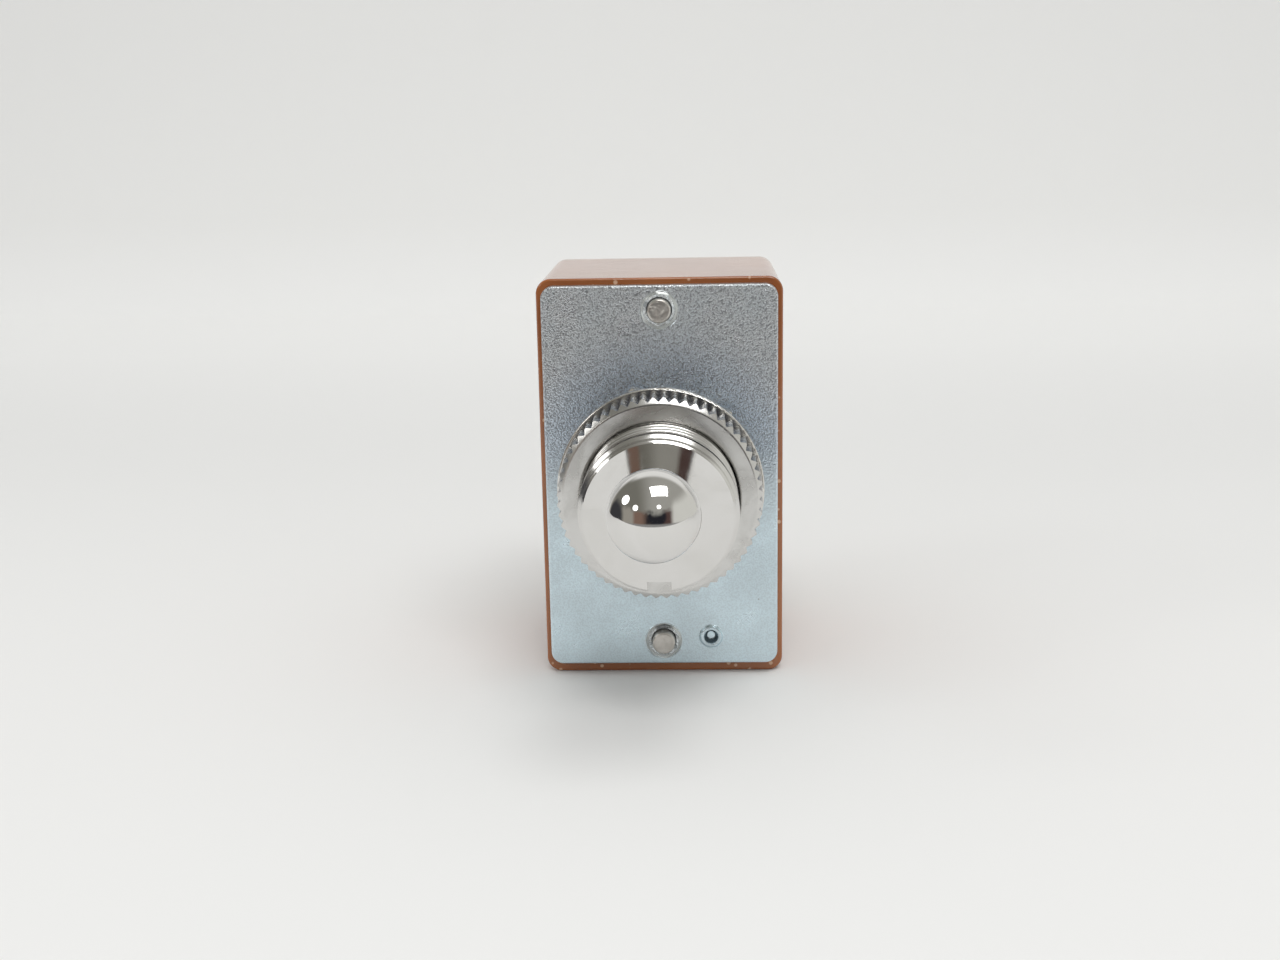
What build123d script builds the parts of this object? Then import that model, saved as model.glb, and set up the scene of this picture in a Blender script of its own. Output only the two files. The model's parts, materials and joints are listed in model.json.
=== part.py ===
from build123d import *
import math
import os

os.makedirs("parts", exist_ok=True)

# Panel mount toggle switch, in millimetres. The origin is on the bushing's axis at the plate's front face,
# -Y points out of the panel along the lever, +Y into the case, +Z up along the case's long side.

# Case: a moulded box, open at the front
case_width = 19.6
case_height = 32.8
case_depth = 16.9
case_corner = 1.2  # radius of the four long edges along Y
case_edge = 0.2  # radius of the front and back outlines
case_side_wall = 1.8
case_back_wall = 2.6
barrier = 1.2  # wall between the two poles

# Cover plate, inside a rim that the case shows all round it
rim_side = 0.45
rim_top = 0.5
rim_bottom = 1.0
plate_thickness = 1.0
plate_corner = 1.0
plate_edge = 0.18

# Pierced pip on the plate
pip_x = 3.9
pip_end_distance = 2.35  # from the plate's lower edge
pip_radius = 0.85
pip_height = 0.2
pip_hole_radius = 0.6
pip_hole_depth = 0.65

# Pins that clamp the plate to the case
pin_radius = 0.95
pin_end_distance = 1.97  # from the plate's upper and lower edges
pin_rise = 0.7  # stands this far out of the plate
pin_round = 0.2
pin_head_radius = 1.9
pin_head_height = 0.8
pin_fit = 0.05
pin_web = 1.2  # case wall between a pin's hole and the cavity
crater_radius = 1.5
crater_floor_radius = 1.2
crater_depth = 0.35

# Threaded bushing, its thread left as a plain cylinder of the major diameter
bushing_radius = 6.0
bushing_length = 12.1  # in front of the plate
nose_length = 1.0  # narrower lead-in in front of the thread
nose_step = 0.25
nose_chamfer = 0.2
mouth_round = 0.1
flange_width = 1.6  # beyond the bushing's wall, as for the nuts and washers below
flange_thickness = 1.0
keyway_width = 1.8
keyway_depth = 1.1

# Bat lever
pivot_front = 7.0  # the lever tilts about a point this far in front of the plate
lever_tilt = 11.0  # to either side of straight
lever_reach = 20.4  # pivot to tip
lever_radius = 3.1
dome_radius = 3.6  # of the cap at the tip
dome_shoulder = 1.9  # radius between the cap and the bat's side
neck_radius = 1.9  # at the bushing's front face
ball_radius = 3.8
stem_radius = 1.75
seat_clearance = 0.1
mouth_clearance = 0.1

# Axle of the lever
axle_radius = 0.75
axle_wall = 1.4  # bushing wall left outside the axle's ends
axle_end_gap = 0.15
running_fit = 0.05
press_fit = 0.02

# Driver on the lever's inner end, with the plungers and springs
driver_depth = 4.2
driver_half_height = 2.4
driver_round = 0.4
driver_clearance = 0.4  # to the bushing's flange
driver_side_gap = 1.0
stem_grip = 3.0
plunger_radius = 1.3
plunger_seat = 1.4  # length inside the driver at rest
plunger_stand_off = 1.0  # from the driver's back to the middle of the round tip
pocket_depth = 3.4
spring_radius = 0.95
spring_wire = 0.1  # radius, so that the turns stand apart and the spring can shorten
spring_turns = 4
spring_end_gap = 0.04

# Contact rockers
rocker_thickness = 0.8
rocker_tilt = 7.0
rocker_seat = 0.03  # knife edge to rocker
rocker_side_gap = 0.9
tip_clearance = 0.08  # plunger to rocker at mid throw
waist = 3.0  # rocker width between its notches
notch_gap = 0.35
prong_rise = 1.9  # above the rocker's axis
prong_gap = 0.1
contact_radius = 1.3
contact_height = 0.7
contact_gap = 0.05
contact_inset = 3.4  # from the cavity's end
arm_overhang = 0.2

# Terminals: brass strips through the case's back, each with a screw in its lug
terminal_thickness = 1.0
leg_gap = 0.35  # contact to the terminal's leg
lug_width = 5.0
lug_length = 8.0
slot_clearance = 0.05
screw_radius = 1.5
screw_length = 5.0
screw_head_radius = 2.4
screw_head_height = 1.8
screw_head_round = 0.6
screw_slot_width = 0.8
screw_slot_depth = 0.9

# Nuts and washers on the bushing, from the plate outwards
thread_fit = 0.05
hex_wall = 1.0  # at the middle of a flat
hex_thickness = 2.4
hex_turn = 46.0  # a corner's angle from +X, seen from the front
tooth_washer_width = 1.5
tooth_washer_rim = 0.75
tooth_washer_thickness = 0.6
tooth_count = 12
tooth_width = 1.5
key_washer_width = 2.13
key_washer_thickness = 0.7
key_washer_round = 0.15
tongue_side_gap = 0.1
tongue_end_gap = 0.15
nut_wall = 1.9
nut_thickness = 3.2
nut_teeth = 60
nut_tooth_depth = 0.28
nut_bevel_width = 0.42
nut_bevel_depth = 0.34
nut_back_bevel = 0.3
nut_mouth = 0.3

# Places worked out from the sizes above
case_drop = (rim_bottom - rim_top) / 2
case_top = case_height / 2 - case_drop
case_bottom = -case_height / 2 - case_drop
case_back = plate_thickness + case_depth
plate_width = case_width - 2 * rim_side
plate_height = case_height - rim_top - rim_bottom
pin_z = plate_height / 2 - pin_end_distance
cavity_half_x = case_width / 2 - case_side_wall
cavity_half_z = pin_z - pin_radius - pin_fit - pin_web
cavity_floor = case_back - case_back_wall
pole_x = (barrier / 2 + cavity_half_x) / 2
flange_radius = bushing_radius + flange_width
flange_back = plate_thickness + flange_thickness
nose_radius = bushing_radius - nose_step
hex_across_flats = 2 * (bushing_radius + hex_wall)
tooth_washer_radius = bushing_radius + tooth_washer_width
key_washer_radius = bushing_radius + key_washer_width
nut_radius = bushing_radius + nut_wall
seat_radius = ball_radius + seat_clearance

tilt = math.radians(lever_tilt)
face_reach = bushing_length - pivot_front
cap_middle = dome_radius - lever_reach
shoulder_middle = lever_radius - dome_shoulder
crown = cap_middle - math.sqrt((dome_radius - dome_shoulder) ** 2 - shoulder_middle**2)
taper = (lever_radius - neck_radius) / (-face_reach - crown)
root_radius = neck_radius - taper * face_reach  # of the bat's cone, carried on to the pivot
# the lever's far side, where it passes the bushing's face when it is tilted
pass_reach = (face_reach + root_radius * math.sin(tilt)) / (math.cos(tilt) - taper * math.sin(tilt))
pass_radius = root_radius + taper * pass_reach
mouth_radius = pass_reach * math.sin(tilt) + pass_radius * math.cos(tilt) + mouth_clearance
driver_front = (
    flange_back + driver_clearance + pivot_front + driver_half_height * math.sin(tilt)
) / math.cos(tilt)
driver_back = driver_front + driver_depth
tip_reach = driver_back + plunger_stand_off

rock = math.radians(rocker_tilt)
knife_radius = terminal_thickness / 2
arm_under = knife_radius + rocker_seat
rocker_y = (
    tip_reach
    - pivot_front
    + (arm_under + rocker_thickness + plunger_radius + tip_clearance) / math.cos(rock)
)
rocker_width = cavity_half_x - barrier / 2 - 2 * rocker_side_gap
contact_z = cavity_half_z - contact_inset
pad_front = rocker_y - arm_under + 2 * contact_height + contact_gap
ledge = pad_front + terminal_thickness
leg_z = contact_z + contact_radius + leg_gap + terminal_thickness / 2
pad_inner_z = contact_z - contact_radius - leg_gap
lug_end = case_back + lug_length
lug_hole_y = lug_end - lug_width / 2

lever_place = Pos(0, -pivot_front, 0) * Rot(-lever_tilt, 0, 0)


def block(x, y, z):
    """A box between the two values given for each axis."""
    low, high = zip(x, y, z)
    size = [b - a for a, b in zip(low, high)]
    return Pos(*low) * Box(*size, align=Align.MIN)


def rod(radius, start, end, x=0.0, z=0.0):
    """A cylinder along Y."""
    plane = Plane(origin=(x, start, z), x_dir=(1, 0, 0), z_dir=(0, 1, 0))
    return plane * Cylinder(radius, end - start, align=(Align.CENTER, Align.CENTER, Align.MIN))


def cross_rod(radius, start, end, y=0.0, z=0.0):
    """A cylinder along X."""
    plane = Plane(origin=(start, y, z), x_dir=(0, 1, 0), z_dir=(1, 0, 0))
    return plane * Cylinder(radius, end - start, align=(Align.CENTER, Align.CENTER, Align.MIN))


def spin(points):
    """A solid turned about Y from (radius, y) points."""
    return revolve(make_face(Polyline(*points, close=True)), Axis.Y)


def around(centre, half):
    return centre - half, centre + half


def outline_edges(shape, y):
    """The outer edges of the flat end at y."""
    return shape.faces().filter_by(Plane.XZ).sort_by(lambda f: abs(f.center().Y - y))[0].outer_wire().edges()


def make_case():
    z = (case_bottom, case_top)
    body = block(around(0, case_width / 2), (plate_thickness, case_back), z)
    body = fillet(body.edges().filter_by(Axis.Y), case_corner)
    body = fillet(outline_edges(body, plate_thickness) + outline_edges(body, case_back), case_edge)
    wide = around(0, cavity_half_x)
    body -= block(wide, (plate_thickness, ledge), around(0, cavity_half_z))
    body -= block(wide, (ledge, cavity_floor), around(0, pad_inner_z))
    wall_front = driver_y_reach + driver_clearance
    body += block(around(0, barrier / 2), (wall_front, cavity_floor), around(0, cavity_half_z))
    for side in (-1, 1):
        body -= rod(pin_radius + pin_fit, plate_thickness, case_back, z=side * pin_z)
        x = around(side * pole_x, lug_width / 2 + slot_clearance)
        for z_middle in (-leg_z, 0, leg_z):
            body -= block(x, (ledge, case_back), around(z_middle, terminal_thickness / 2 + slot_clearance))
    return body


def make_plate():
    body = block(
        around(0, plate_width / 2), (0, plate_thickness), around(0, plate_height / 2)
    )
    body = fillet(body.edges().filter_by(Axis.Y), plate_corner)
    body = fillet(outline_edges(body, 0), plate_edge)
    pip_z = pip_end_distance - plate_height / 2
    body += rod(pip_radius, -pip_height, plate_thickness, pip_x, pip_z)
    body -= rod(pip_hole_radius, -pip_height, pip_hole_depth - pip_height, pip_x, pip_z)
    body -= rod(bushing_radius + press_fit, 0, plate_thickness)
    for side in (-1, 1):
        body -= rod(pin_radius + pin_fit, 0, plate_thickness, z=side * pin_z)
        crater = spin(
            [(0, 0), (crater_radius, 0), (crater_floor_radius, crater_depth), (0, crater_depth)]
        )
        body -= Pos(0, 0, side * pin_z) * crater
    return body


def make_pin(z):
    shank = rod(pin_radius, -pin_rise, case_back, z=z)
    shank = fillet(outline_edges(shank, -pin_rise), pin_round)
    head = rod(pin_head_radius, case_back, case_back + pin_head_height, z=z)
    return shank + fillet(outline_edges(head, case_back + pin_head_height), pin_head_height / 2)


def make_bushing():
    body = spin(
        [
            (0, -bushing_length),
            (nose_radius - nose_chamfer, -bushing_length),
            (nose_radius, nose_chamfer - bushing_length),
            (nose_radius, nose_length - bushing_length),
            (bushing_radius, nose_length + nose_step - bushing_length),
            (bushing_radius, plate_thickness),
            (flange_radius, plate_thickness),
            (flange_radius, flange_back),
            (0, flange_back),
        ]
    )
    body -= rod(mouth_radius, -bushing_length, -pivot_front)
    body -= spin(
        [
            (0, -bushing_length),
            (mouth_radius + mouth_round, -bushing_length),
            (mouth_radius, mouth_round - bushing_length),
            (0, mouth_round - bushing_length),
        ]
    )
    body -= Pos(0, -pivot_front, 0) * Sphere(seat_radius)
    body -= rod(seat_radius, -pivot_front, flange_back)
    slot_radius = axle_radius + running_fit
    slot_half = bushing_radius - axle_wall
    body -= cross_rod(slot_radius, -slot_half, slot_half, y=-pivot_front)
    body -= block(around(0, slot_half), (-pivot_front, flange_back), around(0, slot_radius))
    key_z = (-flange_radius, keyway_depth - bushing_radius)
    return body - block(around(0, keyway_width / 2), (-bushing_length, 0), key_z)


def make_lever():
    lean = math.atan2(shoulder_middle, cap_middle - crown)
    # where the neck's cone and the stem meet the ball
    bend = 1 + taper**2
    room = (root_radius * taper) ** 2 + bend * (ball_radius**2 - root_radius**2)
    neck_end = (root_radius * taper - math.sqrt(room)) / bend
    stem_start = math.sqrt(ball_radius**2 - stem_radius**2)
    stem_end = driver_front + stem_grip
    neck = (root_radius - taper * neck_end, neck_end)

    def cap_point(angle):
        return dome_radius * math.sin(angle), cap_middle - dome_radius * math.cos(angle)

    joint = cap_point(lean)
    outline = [
        Line((0, -lever_reach), (0, stem_end)),
        Line((0, stem_end), (stem_radius, stem_end)),
        Line((stem_radius, stem_end), (stem_radius, stem_start)),
        ThreePointArc((stem_radius, stem_start), (ball_radius, 0), neck),
        Line(neck, (lever_radius, crown)),
        RadiusArc((lever_radius, crown), joint, dome_shoulder),
        ThreePointArc(joint, cap_point(lean / 2), (0, -lever_reach)),
    ]
    body = revolve(make_face(outline), Axis.Y)
    body -= cross_rod(axle_radius + press_fit, -ball_radius, ball_radius)
    return lever_place * body


def make_axle():
    half = bushing_radius - axle_wall - axle_end_gap
    return Pos(0, -pivot_front, 0) * cross_rod(axle_radius, -half, half)


def make_driver():
    body = block(
        around(0, cavity_half_x - driver_side_gap),
        (driver_front, driver_back),
        around(0, driver_half_height),
    )
    body = fillet(body.edges().filter_by(Axis.X), driver_round)
    body -= rod(stem_radius + press_fit, driver_front, driver_front + stem_grip)
    for side in (-1, 1):
        body -= rod(plunger_radius + running_fit, driver_back - pocket_depth, driver_back, side * pole_x)
    return lever_place * body


def make_plunger(x):
    body = rod(plunger_radius, driver_back - plunger_seat, tip_reach, x)
    return lever_place * (body + Pos(x, tip_reach, 0) * Sphere(plunger_radius))


def make_spring(x):
    start = driver_back - pocket_depth + spring_end_gap + spring_wire
    end = driver_back - plunger_seat - spring_end_gap - spring_wire
    path = Helix((end - start) / spring_turns, end - start, spring_radius)
    coil = sweep(Plane(origin=path @ 0, z_dir=path % 0) * Circle(spring_wire), path)
    return lever_place * (Pos(x, start, 0) * Rot(-90, 0, 0) * coil)


def rocker_place(x):
    return Pos(x, rocker_y, 0) * Rot(rocker_tilt, 0, 0)


def make_rocker(x):
    arm_length = contact_z + contact_radius + arm_overhang
    under = -arm_under
    body = Part()
    for side in (-1, 1):
        span = sorted((0, side * arm_length))
        arm = block(around(0, rocker_width / 2), (under - rocker_thickness, under), span)
        body += Rot(side * rocker_tilt, 0, 0) * arm
    for side in (-1, 1):
        notch_x = sorted((side * waist / 2, side * rocker_width / 2))
        notch_z = around(0, terminal_thickness / 2 + notch_gap)
        body -= block(notch_x, (-prong_rise, 0), notch_z)
    return rocker_place(x) * body


def make_moving_contacts(x):
    contacts = [
        Rot(side * rocker_tilt, 0, 0)
        * rod(contact_radius, -arm_under, contact_height - arm_under, z=side * contact_z)
        for side in (-1, 1)
    ]
    return Compound(children=[rocker_place(x) * contact for contact in contacts])


def lug_plane(x, z):
    """Plane of a lug's screw, with its origin in the middle of the lug's upper face."""
    return Plane(origin=(x, lug_hole_y, z + terminal_thickness / 2), x_dir=(1, 0, 0), z_dir=(0, 0, 1))


def make_lug(x, start, z):
    """The strip from start to its rounded end behind the case, with its screw hole."""
    body = block(around(x, lug_width / 2), (start, lug_hole_y), around(z, terminal_thickness / 2))
    hang = (Align.CENTER, Align.CENTER, Align.MAX)
    body += lug_plane(x, z) * Cylinder(lug_width / 2, terminal_thickness, align=hang)
    return body - lug_plane(x, z) * Cylinder(screw_radius + press_fit, terminal_thickness, align=hang)


def make_screw(x, z):
    head = Cylinder(screw_head_radius, screw_head_height, align=(Align.CENTER, Align.CENTER, Align.MIN))
    head = fillet(head.edges().group_by(Axis.Z)[-1], screw_head_round)
    slot_floor = screw_head_height - screw_slot_depth
    head -= block(
        around(0, screw_head_radius), around(0, screw_slot_width / 2), (slot_floor, screw_head_height)
    )
    shank = Cylinder(screw_radius, screw_length, align=(Align.CENTER, Align.CENTER, Align.MAX))
    return lug_plane(x, z) * (head + shank)


def make_common_terminal(x):
    half = rocker_width / 2
    thickness = around(0, terminal_thickness / 2)
    body = block(around(x, half), (rocker_y, cavity_floor), thickness)
    body += cross_rod(knife_radius, x - half, x + half, y=rocker_y)
    for side in (-1, 1):
        prong_x = sorted((x + side * (waist / 2 + prong_gap), x + side * half))
        body += block(prong_x, (rocker_y - prong_rise, cavity_floor), thickness)
    return body + make_lug(x, cavity_floor, 0)


def make_throw_terminal(x, side):
    outer_z = leg_z + terminal_thickness / 2
    pad_z = sorted((side * pad_inner_z, side * outer_z))
    pad = block(around(x, lug_width / 2), (pad_front, ledge), pad_z)
    return pad + make_lug(x, ledge, side * leg_z)


def make_fixed_contact(x, side):
    return rod(contact_radius, pad_front - contact_height, pad_front, x, side * contact_z)


def make_hex_nut():
    corner = hex_across_flats / math.sqrt(3)
    bevel = (corner - hex_across_flats / 2) * math.tan(math.radians(30))
    flat = hex_across_flats / 2
    limits = spin(
        [
            (0, 0),
            (flat, 0),
            (corner, -bevel),
            (corner, bevel - hex_thickness),
            (flat, -hex_thickness),
            (0, -hex_thickness),
        ]
    )
    face = Plane.XZ * RegularPolygon(corner, 6, rotation=hex_turn)
    body = extrude(face, hex_thickness) & limits
    return body - threaded_hole(0, -hex_thickness)


def threaded_hole(back, front):
    """Bore over the bushing from back to front, with a bevel at either mouth."""
    radius = bushing_radius + thread_fit
    return spin(
        [
            (0, back),
            (radius + nut_mouth, back),
            (radius, back - nut_mouth),
            (radius, front + nut_mouth),
            (radius + nut_mouth, front),
            (0, front),
        ]
    )


def make_tooth_washer(back):
    front = back - tooth_washer_thickness
    hole = bushing_radius + thread_fit
    body = rod(tooth_washer_radius, front, back) - rod(tooth_washer_radius - tooth_washer_rim, front, back)
    for index in range(tooth_count):
        tooth = block(
            around(0, tooth_width / 2), (front, back), (0, tooth_washer_radius - tooth_washer_rim / 2)
        )
        body += Rot(0, 360 * index / tooth_count, 0) * tooth
    return body - rod(hole, front, back)


def make_key_washer(back):
    front = back - key_washer_thickness
    body = rod(key_washer_radius, front, back)
    body = fillet(outline_edges(body, front) + outline_edges(body, back), key_washer_round)
    body -= rod(bushing_radius + thread_fit, front, back)
    tongue_z = (-key_washer_radius + 2 * key_washer_round, keyway_depth - tongue_end_gap - bushing_radius)
    return body + block(around(0, keyway_width / 2 - tongue_side_gap), (front, back), tongue_z)


def make_knurled_nut(back):
    front = back - nut_thickness
    step = math.pi / nut_teeth
    teeth = []
    for index in range(2 * nut_teeth):
        radius = nut_radius - nut_tooth_depth * (index % 2)
        teeth.append((radius * math.cos(index * step), radius * math.sin(index * step)))
    seat = Plane(origin=(0, back, 0), x_dir=(1, 0, 0), z_dir=(0, -1, 0))
    star = seat * make_face(Polyline(*teeth, close=True))
    limits = spin(
        [
            (0, back),
            (nut_radius - nut_back_bevel, back),
            (nut_radius, back - nut_back_bevel),
            (nut_radius, front + nut_bevel_depth),
            (nut_radius - nut_bevel_width, front),
            (0, front),
        ]
    )
    return (extrude(star, nut_thickness) & limits) - threaded_hole(back, front)


# The driver's corner that swings deepest into the case
driver_y_reach = (
    driver_back * math.cos(tilt) + driver_half_height * math.sin(tilt) - pivot_front
)

hex_front = -hex_thickness
tooth_washer_front = hex_front - tooth_washer_thickness
key_washer_front = tooth_washer_front - key_washer_thickness

nodes = {
    "case": make_case(),
    "cover_plate": make_plate(),
    "upper_pin": make_pin(pin_z),
    "lower_pin": make_pin(-pin_z),
    "bushing": make_bushing(),
    "lever": make_lever(),
    "lever_axle": make_axle(),
    "driver": make_driver(),
    "hex_nut": make_hex_nut(),
    "tooth_washer": make_tooth_washer(hex_front),
    "key_washer": make_key_washer(tooth_washer_front),
    "knurled_nut": make_knurled_nut(key_washer_front),
}
for pole, pole_side in (("left", -1), ("right", 1)):
    x = pole_side * pole_x
    nodes[f"{pole}_plunger"] = make_plunger(x)
    nodes[f"{pole}_spring"] = make_spring(x)
    nodes[f"{pole}_rocker"] = make_rocker(x)
    nodes[f"{pole}_moving_contacts"] = make_moving_contacts(x)
    nodes[f"{pole}_common_terminal"] = make_common_terminal(x)
    for end, side in (("lower", -1), ("upper", 1)):
        nodes[f"{pole}_{end}_terminal"] = make_throw_terminal(x, side)
        nodes[f"{pole}_{end}_contact"] = make_fixed_contact(x, side)

nodes["terminal_screws"] = Compound(
    children=[make_screw(side * pole_x, z) for side in (-1, 1) for z in (-leg_z, 0, leg_z)]
)

for name, shape in nodes.items():
    export_step(shape, f"parts/{name}.step")
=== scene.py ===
import json
import math

import bmesh
import bpy
from mathutils import Matrix, Quaternion, Vector, noise


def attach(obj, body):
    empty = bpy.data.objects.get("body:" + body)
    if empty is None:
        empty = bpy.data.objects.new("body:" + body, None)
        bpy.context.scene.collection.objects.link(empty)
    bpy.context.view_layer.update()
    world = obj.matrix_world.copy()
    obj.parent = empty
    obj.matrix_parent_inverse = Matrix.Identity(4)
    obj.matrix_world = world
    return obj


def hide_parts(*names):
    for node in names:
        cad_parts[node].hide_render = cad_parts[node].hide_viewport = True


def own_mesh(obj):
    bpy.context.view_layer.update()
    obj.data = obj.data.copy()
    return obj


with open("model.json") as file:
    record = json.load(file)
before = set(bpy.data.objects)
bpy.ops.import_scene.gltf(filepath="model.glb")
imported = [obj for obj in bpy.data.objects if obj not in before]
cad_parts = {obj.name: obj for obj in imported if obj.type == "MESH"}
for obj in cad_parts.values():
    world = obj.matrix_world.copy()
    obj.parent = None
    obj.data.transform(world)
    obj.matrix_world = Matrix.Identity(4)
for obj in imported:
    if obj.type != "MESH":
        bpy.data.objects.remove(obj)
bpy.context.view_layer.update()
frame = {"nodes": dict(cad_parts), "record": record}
cadNodes = frame["nodes"]
mm = 0.001
print("frame loaded:", len(cadNodes), "nodes")


# Node helpers

def addNode(tree, kind, **values):
    node = tree.nodes.new(kind)
    for key, value in values.items():
        setattr(node, key, value)
    return node


def feed(tree, socket, source):
    # a socket takes either a link or a plain value
    if isinstance(source, bpy.types.NodeSocket):
        tree.links.new(source, socket)
    else:
        socket.default_value = source


def feedAll(tree, node, **sources):
    # sockets by name, with _ for a space
    for name, source in sources.items():
        feed(tree, node.inputs[name.replace("_", " ")], source)


def mathNode(tree, operation, first, second=0.0):
    node = addNode(tree, "ShaderNodeMath", operation=operation)
    feed(tree, node.inputs[0], first)
    feed(tree, node.inputs[1], second)
    return node.outputs[0]


def times(tree, first, second):
    return mathNode(tree, "MULTIPLY", first, second)


def vectorNode(tree, operation, *sources):
    node = addNode(tree, "ShaderNodeVectorMath", operation=operation)
    for socket, source in zip(node.inputs, sources):
        feed(tree, socket, source)
    return node.outputs


def axesOf(tree, vector):
    node = addNode(tree, "ShaderNodeSeparateXYZ")
    feed(tree, node.inputs[0], vector)
    return node.outputs


def aside(tree, where, spot=(0.0, 0.0)):
    # the way from a line along Y, through an (x, z) spot in millimetres
    return vectorNode(tree, "MULTIPLY_ADD", where, (1.0, 0.0, 1.0), (-spot[0] * mm, 0.0, -spot[1] * mm))[0]


def lengthOf(tree, vector):
    return vectorNode(tree, "LENGTH", vector)["Value"]


def ramp(tree, value, low, high, toLow=0.0, toHigh=1.0, smooth=True):
    kind = "SMOOTHSTEP" if smooth else "LINEAR"
    node = addNode(tree, "ShaderNodeMapRange", interpolation_type=kind)
    feedAll(tree, node, Value=value, From_Min=low, From_Max=high, To_Min=toLow, To_Max=toHigh)
    return node.outputs[0]


def lengthRamp(tree, value, low, high, toLow=0.0, toHigh=1.0):
    # limits in millimetres
    return ramp(tree, value, low * mm, high * mm, toLow, toHigh)


def between(tree, mask, low, high):
    return ramp(tree, mask, 0.0, 1.0, low, high)


def mixColour(tree, factor, first, second):
    node = addNode(tree, "ShaderNodeMix", data_type="RGBA")
    feed(tree, node.inputs[0], factor)
    for socket, source in ((node.inputs[6], first), (node.inputs[7], second)):
        feed(tree, socket, (*source, 1.0) if isinstance(source, tuple) else source)
    return node.outputs[2]


def tinted(tree, tone, mask, share, second):
    # a second tone over the first where the mask lies, up to a share
    return mixColour(tree, times(tree, mask, share), tone, second)


def noiseValue(tree, vector, scale, detail, roughness, distortion=0.0):
    node = addNode(tree, "ShaderNodeTexNoise")
    feedAll(tree, node, Vector=vector, Scale=scale, Detail=detail, Roughness=roughness, Distortion=distortion)
    return node.outputs["Fac"]


# Shader groups that several finishes share

def newGroup(name, inputs, outputs):
    # inputs by name with their values, None for a vector; every output is a value
    group = bpy.data.node_groups.new(name, "ShaderNodeTree")
    for label, value in inputs.items():
        kind = "NodeSocketVector" if value is None else "NodeSocketFloat"
        socket = group.interface.new_socket(label, in_out="INPUT", socket_type=kind)
        if value is not None:
            socket.default_value = value
    for label in outputs:
        group.interface.new_socket(label, in_out="OUTPUT", socket_type="NodeSocketFloat")
    return group, addNode(group, "NodeGroupInput").outputs, addNode(group, "NodeGroupOutput").inputs


grain = {
    "tilt": (0.5, 0.35, 0.8),  # so that no flat face lies along the noise's own grid
    "heightBand": (0.3, 0.7), "patchBand": (0.32, 0.68),
}


def makeGrainGroup():
    # fine grain of a cast, pressed or moulded surface, as a height and a mask
    group, given, result = newGroup(
        "surfaceGrain", {"Vector": None, "Scale": 3000.0, "Patch Scale": 150.0}, ("Height", "Patch")
    )
    tilted = addNode(group, "ShaderNodeVectorRotate", rotation_type="EULER_XYZ")
    feedAll(group, tilted, Vector=given["Vector"], Rotation=grain["tilt"])
    fine = noiseValue(group, tilted.outputs[0], given["Scale"], detail=1.0, roughness=0.5)
    patch = noiseValue(group, tilted.outputs[0], given["Patch Scale"], detail=4.0, roughness=0.55)
    feed(group, result["Height"], ramp(group, fine, *grain["heightBand"]))
    feed(group, result["Patch"], ramp(group, patch, *grain["patchBand"]))
    return group


specks = {"core": 0.55}  # share of a speck's radius that is full


def makeSpeckGroup():
    # scattered specks: dust, pits or chips, one to a cell, most cells left empty
    group, given, result = newGroup(
        "specks", {"Vector": None, "Scale": 900.0, "Size": 0.25, "Share": 0.1}, ("Mask",)
    )
    cells = addNode(group, "ShaderNodeTexVoronoi", feature="F1")
    feedAll(group, cells, Vector=given["Vector"], Scale=given["Scale"])
    pick = addNode(group, "ShaderNodeSeparateColor")
    feed(group, pick.inputs[0], cells.outputs["Color"])
    chosen = mathNode(group, "LESS_THAN", pick.outputs[0], given["Share"])
    core = times(group, given["Size"], specks["core"])
    disc = ramp(group, cells.outputs["Distance"], core, given["Size"], 1.0, 0.0)
    feed(group, result["Mask"], times(group, disc, chosen))
    return group


handling = {
    "stretch": (0.25, 1.0, 1.6), "smearBand": (0.38, 0.68), "hairlineBand": (0.58, 0.74),
}


def makeHandlingGroup():
    # soft wiped marks and fine hairlines that a bright plating picks up
    group, given, result = newGroup(
        "handling", {"Vector": None, "Smear Scale": 220.0, "Hairline Scale": 2600.0}, ("Smear", "Hairline")
    )
    smear = noiseValue(group, given["Vector"], given["Smear Scale"], detail=4.0, roughness=0.6, distortion=0.8)
    drawn = vectorNode(group, "MULTIPLY", given["Vector"], handling["stretch"])[0]
    hairline = noiseValue(group, drawn, given["Hairline Scale"], detail=2.0, roughness=0.4)
    feed(group, result["Smear"], ramp(group, smear, *handling["smearBand"]))
    feed(group, result["Hairline"], ramp(group, hairline, *handling["hairlineBand"]))
    return group


grainGroup = makeGrainGroup()
speckGroup = makeSpeckGroup()
handlingGroup = makeHandlingGroup()


def useGroup(tree, group, vector, **values):
    node = addNode(tree, "ShaderNodeGroup", node_tree=group)
    feedAll(tree, node, Vector=vector, **values)
    return node.outputs


finishes = {}


def newFinish(slotName):
    # a material named after its slot, in camel case
    first, *others = slotName.split("_")
    material = bpy.data.materials.new(first + "".join(word.capitalize() for word in others))
    material.use_nodes = True
    finishes[slotName] = material
    tree = material.node_tree
    where = addNode(tree, "ShaderNodeTexCoord").outputs["Object"]
    return tree, tree.nodes["Principled BSDF"], where


def bumpInto(tree, shader, height, strength, distance):
    node = addNode(tree, "ShaderNodeBump")
    feedAll(tree, node, Strength=strength, Distance=distance, Height=height)
    feed(tree, shader.inputs["Normal"], node.outputs[0])


# Finishes: lengths in millimetres, ramps as limits and results, bumps as strength and distance in metres

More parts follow.
